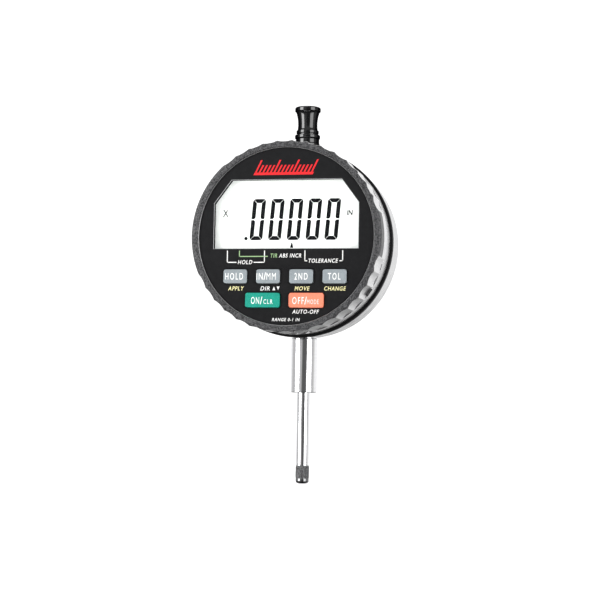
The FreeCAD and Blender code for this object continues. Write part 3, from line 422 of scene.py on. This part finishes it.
# How far each node's edges are rounded, in millimetres.
EDGES = {
    "bezel": 0.16, "front_case": 0.14, "rear_housing": 0.15, "back_cover": 0.25, "stem": 0.30,
    "spindle": 0.12, "lift_knob": 0.10, "upper_bushing": 0.10, "face_panel": 0.06, "port_cover": 0.18,
    "battery_drawer": 0.15, "key_on": 0.38, "key_off": 0.38, "cover_screw_1": 0.10, "cover_screw_2": 0.10,
    "cover_screw_3": 0.10, "cover_screw_4": 0.10,
    **{f"key_function_{number}": 0.38 for number in range(1, 5)},
}


def finish_nodes():
    """Each CAD node takes the finish of its slot in the record."""
    slot_of = {part["node"]: part["material_slot"] for part in frame["record"]["subparts"]}
    for name, item in nodes.items():
        material = finishes[slot_of[name]].material
        item.data.materials.clear()
        item.data.materials.append(material)
    for name, width in EDGES.items():
        soften(nodes[name], width * MM)


# ---- building new pieces ----------------------------------------------------------------------

def add_piece(name, points, faces, finish, body, smooth=False):
    mesh = bpy.data.meshes.new(name)
    mesh.from_pydata([tuple(point) for point in points], [], faces)
    mesh.validate()
    mesh.update()
    for polygon in mesh.polygons:
        polygon.use_smooth = smooth
    mesh.materials.append(finish.material)
    item = bpy.data.objects.new(name, mesh)
    scene.collection.objects.link(item)
    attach(item, body)
    return item


def on_face(x, up, front):
    """A point laid out in millimetres from the dial's centre."""
    return Vector((x * MM, -front, DIAL.z + up * MM))


def printed(name, outlines, finish, front, thickness=PRINT_DEPTH, body="display_head"):
    """Flat raised shapes from outlines that run anticlockwise as seen from the front."""
    points = []
    faces = []
    for outline in outlines:
        first = len(points)
        count = len(outline)
        points += [on_face(x, up, front) for x, up in outline]
        points += [on_face(x, up, front + thickness) for x, up in outline]
        faces.append(list(range(first + count, first + 2 * count)))
        faces.append(list(range(first + count - 1, first - 1, -1)))
        for corner in range(count):
            following = (corner + 1) % count
            here = first + corner
            after = first + following
            faces.append([here, after, after + count, here + count])
    return add_piece(name, points, faces, finish, body)


def bar(x0, x1, low, high, slant=0.0):
    """A rectangle that may lean to the right."""
    lower = [(x0 + slant * low, low), (x1 + slant * low, low)]
    upper = [(x1 + slant * high, high), (x0 + slant * high, high)]
    return lower + upper


def anticlockwise(outline):
    """The outline, turned round if it runs clockwise."""
    pairs = zip(outline, outline[1:] + outline[:1])
    turned = sum(a[0] * b[1] - b[0] * a[1] for a, b in pairs)
    return outline if turned > 0 else outline[::-1]


def lettering(name, text, left, right, low, high, finish, front, body="display_head", slant=0.0,
              weight=0.0, spacing=1.0):
    """Generic lettering stretched into a box on the face."""
    curve = bpy.data.curves.new(name, "FONT")
    curve.body = text
    curve.shear = slant
    curve.offset = weight
    curve.space_character = spacing
    curve.extrude = 1.0
    curve.resolution_u = 4
    holder = bpy.data.objects.new(name + "_text", curve)
    scene.collection.objects.link(holder)
    bpy.context.view_layer.update()
    mesh = bpy.data.meshes.new_from_object(holder.evaluated_get(bpy.context.evaluated_depsgraph_get()))
    flat = [vertex.co.copy() for vertex in mesh.vertices]
    lo_x, hi_x = min(p.x for p in flat), max(p.x for p in flat)
    lo_y, hi_y = min(p.y for p in flat), max(p.y for p in flat)
    points = []
    for point in flat:
        x = left + (point.x - lo_x) / (hi_x - lo_x) * (right - left)
        up = low + (point.y - lo_y) / (hi_y - lo_y) * (high - low)
        points.append(on_face(x, up, front + PRINT_DEPTH * (0.5 + 0.5 * point.z)))
    faces = [list(polygon.vertices) for polygon in mesh.polygons]
    bpy.data.objects.remove(holder)
    bpy.data.curves.remove(curve)
    bpy.data.meshes.remove(mesh)
    return add_piece(name, points, faces, finish, body)


# ---- display graphics -------------------------------------------------------------------------

DIGIT = {"width": 4.45, "height": 14.0, "stroke": 1.34, "corner": 1.0, "gap": 0.12}
DIGIT_COUNT = 5
DIGIT_PITCH = 6.465
DIGIT_LEFT = -13.05
DIGIT_LOW = -1.1
DIGIT_SLANT = 0.085
POINT_CENTRE = (-14.25, -0.55)
POINT_RADIUS = 0.58
POINT_STEPS = 12
SEGMENT_DEPTH = 0.05 * MM


def zero_segments():
    """The six lit segments of a zero, as outlines from the digit's lower left corner."""
    width, height, stroke, corner, gap = DIGIT.values()
    middle = height / 2
    quarter = [(corner - corner * math.cos(angle), corner * math.sin(angle))
               for angle in (math.radians(a) for a in (0, 20, 42))]
    side = [(0.0, middle - gap * 1.6), (stroke * 0.7, middle - gap * 1.6),
            (stroke, middle - gap * 2.2 - stroke * 0.3), (stroke, stroke + gap)]
    side += [(x, corner - rise) for x, rise in reversed(quarter)]
    flat = [(corner - rise, x) for x, rise in quarter]
    base = [(stroke + gap, stroke), (width - stroke - gap, stroke)]
    base += [(width - x, low) for x, low in reversed(flat)]
    base += flat
    lower_left = side[::-1]
    lower_right = [(width - x, up) for x, up in side]
    lower = [base[::-1], lower_left[::-1], lower_right]
    upper = [[(x, height - up) for x, up in outline[::-1]] for outline in lower]
    return lower + upper


def make_display_graphics():
    """Five zeros, the decimal point, the marker under them, a cross at the left and the unit."""
    segments = []
    for place in range(DIGIT_COUNT):
        left = DIGIT_LEFT + place * DIGIT_PITCH
        for outline in zero_segments():
            shifted = [(left + x + DIGIT_SLANT * up, DIGIT_LOW + up) for x, up in outline]
            segments.append(anticlockwise(shifted))
    turns = [math.tau * step / POINT_STEPS for step in range(POINT_STEPS)]
    segments.append([(POINT_CENTRE[0] + POINT_RADIUS * math.cos(turn),
                      POINT_CENTRE[1] + POINT_RADIUS * math.sin(turn)) for turn in turns])
    segments.append([(1.15, -3.75), (2.2, -3.75), (1.95, -2.6), (1.8, -2.0), (1.6, -2.0), (1.45, -2.6)])
    printed("display_digits", segments, inks["liquid"], GLASS_FRONT, SEGMENT_DEPTH)
    cross = [
        [(-22.5, 6.8), (-22.1, 6.8), (-20.6, 9.3), (-21.0, 9.3)],
        [(-22.4, 9.3), (-22.0, 9.3), (-20.9, 6.8), (-20.5, 6.8)],
    ]
    cross = [anticlockwise(outline) for outline in cross]
    printed("display_cross", cross, inks["ghost"], GLASS_FRONT, SEGMENT_DEPTH)
    lettering("display_unit", "IN", 20.45, 22.45, 7.15, 8.85, inks["liquid"], GLASS_FRONT, slant=0.15,
              weight=0.02)


# ---- printing on the face and keys ------------------------------------------------------------

# Half the width of a printed line, then the height each row of lettering reaches from and to.
LINE = 0.17
KEY_CAPTIONS = (-18.4, -16.95)
BRACKET_CAPTIONS = (-7.3, -5.9)
SMALL_KEY_WORDS = (-14.8, -12.5)
LARGE_KEY_WORDS = (-23.0, -20.6)
LARGE_KEY_NOTES = (-22.95, -21.4)


def run(points):
    """A printed line of even width through corner points, as one rectangle for each stretch."""
    outlines = []
    for (x0, up0), (x1, up1) in zip(points, points[1:]):
        left = min(x0, x1) - LINE
        right = max(x0, x1) + LINE
        outlines.append(bar(left, right, min(up0, up1) - LINE, max(up0, up1) + LINE))
    return outlines


def make_face_printing():
    """The brackets that lead from the display to their captions, and the captions under the keys."""
    top = -5.05
    left_foot = -8.85
    right_foot = -8.40
    inner_foot = -6.85
    white = run([(-20.05, top), (-20.05, left_foot), (-17.0, left_foot)])
    white += run([(-10.7, left_foot), (-7.15, left_foot), (-7.15, top)])
    white += run([(6.75, top), (6.75, right_foot), (7.4, right_foot)])
    white += run([(18.7, right_foot), (19.6, right_foot), (19.6, top)])
    printed("bracket_lines", white, inks["white"], FACE_FRONT)
    inner = run([(-15.85, top), (-15.85, inner_foot), (-6.15, inner_foot)])
    printed("inner_bracket", inner, inks["green"], FACE_FRONT)

    captions = (
        ("caption_hold", "HOLD", -16.4, -11.3, (-9.5, -8.1), "white"),
        ("caption_tir", "TIR", -5.05, -2.75, BRACKET_CAPTIONS, "green"),
        ("caption_abs", "ABS INCR", -2.2, 5.55, BRACKET_CAPTIONS, "white"),
        ("caption_tolerance", "TOLERANCE", 8.0, 18.1, (-9.05, -7.65), "white"),
        ("caption_apply", "APPLY", -19.6, -14.0, KEY_CAPTIONS, "yellow"),
        ("caption_direction", "DIR", -8.4, -5.1, KEY_CAPTIONS, "white"),
        ("caption_move", "MOVE", 3.4, 8.6, KEY_CAPTIONS, "yellow"),
        ("caption_change", "CHANGE", 13.5, 20.9, KEY_CAPTIONS, "yellow"),
        ("caption_auto_off", "AUTO-OFF", 2.7, 11.9, (-26.15, -24.75), "white"),
        ("caption_range", "RANGE 0-1 IN", -4.2, 5.4, (-28.7, -27.6), "white"),
    )
    for name, text, left, right, (low, high), ink in captions:
        lettering(name, text, left, right, low, high, inks[ink], FACE_FRONT, slant=0.22, weight=0.02,
                  spacing=1.18)
    arrows = [[(-4.2, -18.3), (-3.2, -18.3), (-3.7, -17.0)], [(-2.75, -17.0), (-2.25, -18.3), (-1.75, -17.0)]]
    printed("direction_arrows", arrows, inks["white"], FACE_FRONT)


def make_emblem():
    """A plain red graduated scale: a bar with leaning marks, every fifth one taller."""
    base = 20.75
    bar_height = 0.9
    lean = 0.42
    mark_width = 0.62
    pitch = 1.29
    heights = (4.9, 3.2, 3.2, 3.2, 3.2)
    foot = base + 0.85
    marks = [[(-11.5, base), (9.0, base), (9.4, base + bar_height), (-11.1, base + bar_height)]]
    for step in range(16):
        left = -11.0 + step * pitch
        right = left + mark_width
        high = heights[step % len(heights)]
        top = base + 0.2 + high
        shift = lean * high
        marks.append([(left, foot), (right, foot), (right + shift, top), (left + shift, top)])
    printed("scale_emblem", marks, inks["red"], FACE_FRONT)


def make_key_labels():
    """The words on the keys. Words with an M keep weight 0, because its strokes would overlap."""
    bold = 0.012
    labels = (
        ("label_hold", "HOLD", -20.5, -14.3, SMALL_KEY_WORDS, 1.40, bold, "key_function_1"),
        ("label_inch", "IN", -9.65, -7.45, SMALL_KEY_WORDS, 1.25, bold, "key_function_2"),
        ("label_metric", "MM", -6.2, -2.95, SMALL_KEY_WORDS, 1.20, 0.0, "key_function_2"),
        ("label_second", "2ND", 3.4, 7.95, SMALL_KEY_WORDS, 1.35, bold, "key_function_3"),
        ("label_tolerance", "TOL", 14.8, 19.1, SMALL_KEY_WORDS, 1.40, bold, "key_function_4"),
        ("label_on", "ON", -11.4, -8.55, LARGE_KEY_WORDS, 1.25, bold, "key_on"),
        ("label_clear", "CLR", -7.1, -3.9, LARGE_KEY_NOTES, 1.30, bold, "key_on"),
        ("label_off", "OFF", 2.8, 6.75, LARGE_KEY_WORDS, 1.30, bold, "key_off"),
        ("label_mode", "MODE", 7.85, 11.85, LARGE_KEY_NOTES, 1.25, 0.0, "key_off"),
    )
    front = KEY_FRONT - 0.02 * MM
    for name, text, left, right, (low, high), spacing, weight, body in labels:
        lettering(name, text, left, right, low, high, inks["white"], front, body, weight=weight,
                  spacing=spacing)
    strokes = (
        ("slash_unit", -7.2, -14.9, "key_function_2"),
        ("slash_on", -8.3, -23.1, "key_on"),
        ("slash_off", 6.95, -23.1, "key_off"),
    )
    for name, left, low, body in strokes:
        outline = [(left, low), (left + 0.3, low), (left + 0.85, low + 2.6), (left + 0.55, low + 2.6)]
        printed(name, [outline], inks["white"], front, body=body)


# The window's upper corners are cut off by this much across and down. The lens reaches past the
# window by LENS_GROWTH all round, under the face.
WINDOW_CUT = (5.95, 8.0)
LENS_GROWTH = 0.6


def window_outline(shift):
    """The window's outline, moved inwards by a shift."""
    low_corner, high_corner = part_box("window_lens")
    inwards = LENS_GROWTH + shift
    left = low_corner.x / MM + inwards
    right = high_corner.x / MM - inwards
    low = (low_corner.z - DIAL.z) / MM + inwards
    high = (high_corner.z - DIAL.z) / MM - inwards
    across = WINDOW_CUT[0] - shift * 0.45
    down = WINDOW_CUT[1] - shift * 0.6
    cut_corners = [(right, high - down), (right - across, high),
                   (left + across, high), (left, high - down)]
    return [(left, low), (right, low)] + cut_corners


def window_ring(name, rings, finish):
    """A closed ring round the window, through (shift, front) corners of its section."""
    points = [on_face(x, up, front) for shift, front in rings for x, up in window_outline(shift)]
    corners = len(points) // len(rings)
    faces = []
    for ring in range(len(rings)):
        here = ring * corners
        after = (ring + 1) % len(rings) * corners
        for corner in range(corners):
            following = (corner + 1) % corners
            faces.append([here + corner, after + corner, after + following, here + following])
    add_piece(name, points, faces, finish, "display_head")


def make_window_highlight_and_gasket():
    """A thin light-grey ring round the opening's front edge, a painted highlight along that edge, and the
    black gasket between lens and display.
    """
    rear = FACE_FRONT - 0.30 * MM
    front = FACE_FRONT + 0.02 * MM
    # The light-grey ring paints a highlight along the window's front edge.
    window_ring("window_edge_highlight", [(0.0, rear), (0.0, front), (0.13, front), (0.13, rear)], inks["edge_highlight"])
    lens_rear = -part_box("window_lens")[1].y - 0.02 * MM
    glass = GLASS_FRONT + 0.02 * MM
    window_ring("window_gasket", [(-0.3, glass), (-0.3, lens_rear), (0.03, lens_rear), (0.03, glass)],
                finishes["seal_rubber"])


# ---- contact point and spring -----------------------------------------------------------------

def groove(turns):
    """How deep a knurling groove is at a place counted in grooves: 1 at its middle, 0 on the land."""
    away = abs(turns - round(turns))
    return max(0.0, 1.0 - away / 0.36)


def lathe_faces(rings, around):
    """Faces between closed rings of points, with both ends capped."""
    faces = [list(range(around - 1, -1, -1))]
    for ring in range(rings - 1):
        for step in range(around):
            following = (step + 1) % around
            faces.append([ring * around + step, ring * around + following,
                          (ring + 1) * around + following, (ring + 1) * around + step])
    faces.append([(rings - 1) * around + step for step in range(around)])
    return faces


def make_contact_tip():
    """The contact point: a diamond-knurled grip over a smooth band with a domed end."""
    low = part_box("contact_point")[0].z / MM
    around = 192
    starts = 20
    radius = 2.45
    depth = 0.24
    profile = [(0.25, 0.0), (0.9, 0.03), (1.5, 0.12), (1.95, 0.26), (2.22, 0.42), (2.36, 0.62), (2.38, 0.85),
               (2.38, 1.75), (2.30, 1.90)]
    knurl_low = 1.95
    knurl_high = 6.1
    levels = 66
    rings = [(base, low + rise, False) for base, rise in profile]
    rings += [(radius, low + knurl_low + (knurl_high - knurl_low) * level / levels, True)
              for level in range(levels + 1)]
    rings += [(2.28, low + 6.22, False), (2.15, low + 6.35, False), (1.45, low + 6.35, False)]
    pitch = math.tau * radius / starts
    points = []
    for base, height, knurled in rings:
        for step in range(around):
            share = step / around
            reach = base
            if knurled:
                rise = (height - low) / pitch
                cross = max(groove(share * starts + rise), groove(share * starts - rise))
                reach = base - depth * cross
            angle = math.tau * share
            points.append(Vector((reach * math.cos(angle), reach * math.sin(angle), height)) * MM)
    faces = lathe_faces(len(rings), around)
    item = add_piece("contact_tip", points, faces, finishes["dark_steel"], "plunger",
                     smooth=True)
    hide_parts("contact_point")


def make_return_coil():
    """The return spring's wire, coiled between the ends of the return_spring node."""
    low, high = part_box("return_spring")
    wire = 0.225 * MM
    coil = 3.3 * MM
    turns = 11
    sides = 8
    steps = turns * 28
    base = low.z + wire
    length = high.z - low.z - 2 * wire
    points = []
    for step in range(steps + 1):
        angle = math.tau * turns * step / steps
        outward = Vector((math.cos(angle), math.sin(angle), 0.0))
        centre = outward * coil + Vector((0.0, 0.0, base + length * step / steps))
        for side in range(sides):
            turn = math.tau * side / sides
            points.append(centre + (outward * math.cos(turn) + Vector((0, 0, 1)) * math.sin(turn)) * wire)
    item = add_piece("return_coil", points, lathe_faces(steps + 1, sides), finishes["polished_steel"], "case",
                     smooth=True)
    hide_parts("return_spring")
    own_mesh(item)


# ---- studio -----------------------------------------------------------------------------------

# Camera angles are in degrees, its lens and sensor in millimetres.
CAMERA_AZIMUTH = 12.0
CAMERA_ELEVATION = -3.81
CAMERA_ROLL = 0.94
CAMERA_DISTANCE = 0.5352
CAMERA_AIM = Vector((-0.00368, 0.0, 0.03485))
CAMERA_LENS = 91.13
CAMERA_SENSOR = 36.0

# Name, azimuth, elevation, distance, width, height and radiance of each softbox.
SOFTBOXES = (
    ("softbox_left", -47.0, 10.0, 0.60, 0.34, 0.46, 6.6),
    ("softbox_right", 57.0, 6.0, 0.60, 0.40, 0.46, 3.6),
    ("softbox_top", -20.0, 62.0, 0.65, 0.40, 0.30, 3.0),
)


def direction(azimuth, elevation=0.0):
    """The way from the object towards an azimuth and elevation in degrees."""
    turn = math.radians(azimuth)
    rise = math.radians(elevation)
    return Vector((math.sin(turn) * math.cos(rise), -math.cos(turn) * math.cos(rise), math.sin(rise)))


def make_camera():
    back = direction(CAMERA_AZIMUTH, CAMERA_ELEVATION)
    level = direction(CAMERA_AZIMUTH + 90.0)
    upward = back.cross(level)
    roll = math.radians(CAMERA_ROLL)
    right = level * math.cos(roll) + upward * math.sin(roll)
    up = upward * math.cos(roll) - level * math.sin(roll)
    camera = bpy.data.objects.new("camera", bpy.data.cameras.new("camera"))
    scene.collection.objects.link(camera)
    turn = Matrix((right, up, back)).transposed().to_4x4()
    camera.matrix_world = Matrix.Translation(CAMERA_AIM + back * CAMERA_DISTANCE) @ turn
    camera.data.lens = CAMERA_LENS
    camera.data.sensor_width = CAMERA_SENSOR
    camera.data.clip_start = 0.02
    camera.data.clip_end = 20.0
    scene.camera = camera


def make_softbox(name, azimuth, elevation, distance, width, height, radiance):
    light = bpy.data.lights.new(name, "AREA")
    light.shape = "RECTANGLE"
    light.size = width
    light.size_y = height
    light.energy = radiance * math.pi * width * height
    item = bpy.data.objects.new(name, light)
    scene.collection.objects.link(item)
    way = direction(azimuth, elevation)
    item.location = DIAL + way * distance
    item.rotation_mode = "QUATERNION"
    item.rotation_quaternion = way.to_track_quat("Z", "Y")
    item.visible_camera = False


def make_world():
    """A pale studio: a white backdrop, soft grey walls and a dark gap where the camera stands."""
    world = bpy.data.worlds.new("studio")
    scene.world = world
    world.use_nodes = True
    tree = world.node_tree
    tree.nodes.clear()

    def node(kind, **settings):
        made = tree.nodes.new(kind)
        for name, value in settings.items():
            setattr(made, name, value)
        return made

    place = node("ShaderNodeTexCoord")

    def ramp(way, amounts):
        """Brightness that changes with how far a ray points along a way."""
        facing = node("ShaderNodeVectorMath", operation="DOT_PRODUCT")
        facing.inputs[1].default_value = way
        tree.links.new(place.outputs["Generated"], facing.inputs[0])
        made = node("ShaderNodeMapRange", interpolation_type="SMOOTHSTEP")
        for socket, amount in zip(("From Min", "From Max", "To Min", "To Max"), amounts):
            made.inputs[socket].default_value = amount
        tree.links.new(facing.outputs["Value"], made.inputs["Value"])
        return made.outputs["Result"]

    def product(first, second):
        made = node("ShaderNodeMath", operation="MULTIPLY")
        tree.links.new(first, made.inputs[0])
        tree.links.new(second, made.inputs[1])
        return made.outputs["Value"]

    gap = ramp(direction(15.0), (0.90, 0.975, 0.70, 0.17))
    ground = ramp((0.0, 0.0, 1.0), (-0.45, -0.15, 0.10, 1.0))
    behind = ramp((0.0, 1.0, 0.0), (0.05, 0.60, 1.0, 1.75))
    walls = node("ShaderNodeBackground")
    tree.links.new(product(product(gap, ground), behind), walls.inputs["Color"])
    backdrop = node("ShaderNodeBackground")
    backdrop.inputs["Color"].default_value = (1.35, 1.35, 1.35, 1.0)
    path = node("ShaderNodeLightPath")
    mix = node("ShaderNodeMixShader")
    tree.links.new(path.outputs["Is Camera Ray"], mix.inputs["Fac"])
    tree.links.new(walls.outputs["Background"], mix.inputs[1])
    tree.links.new(backdrop.outputs["Background"], mix.inputs[2])
    out = node("ShaderNodeOutputWorld")
    tree.links.new(mix.outputs["Shader"], out.inputs["Surface"])


def make_floor():
    finish = plastic("floor_pale", (0.90, 0.90, 0.90), 0.60, 2.0 * MM, 0.01 * MM, share=0.01)
    finish.shader.inputs["Emission Color"].default_value = (1.0, 1.0, 1.0, 1.0)
    finish.shader.inputs["Emission Strength"].default_value = 0.60
    reach = 6.0
    level = cad_box[0].z - 0.05 * MM
    corners = [(x * reach, y * reach, level) for x, y in ((-1, -1), (1, -1), (1, 1), (-1, 1))]
    mesh = bpy.data.meshes.new("floor")
    mesh.from_pydata(corners, [], [(0, 1, 2, 3)])
    mesh.materials.append(finish.material)
    item = bpy.data.objects.new("floor", mesh)
    scene.collection.objects.link(item)
    item.visible_glossy = False


def make_studio():
    make_camera()
    make_world()
    make_floor()
    for softbox in SOFTBOXES:
        make_softbox(*softbox)
    scene.view_settings.view_transform = "Standard"
    scene.view_settings.exposure = -0.2
    scene.view_settings.gamma = 0.86


finish_nodes()
make_display_graphics()
make_face_printing()
make_emblem()
make_key_labels()
make_window_highlight_and_gasket()
make_contact_tip()
make_return_coil()
make_studio()
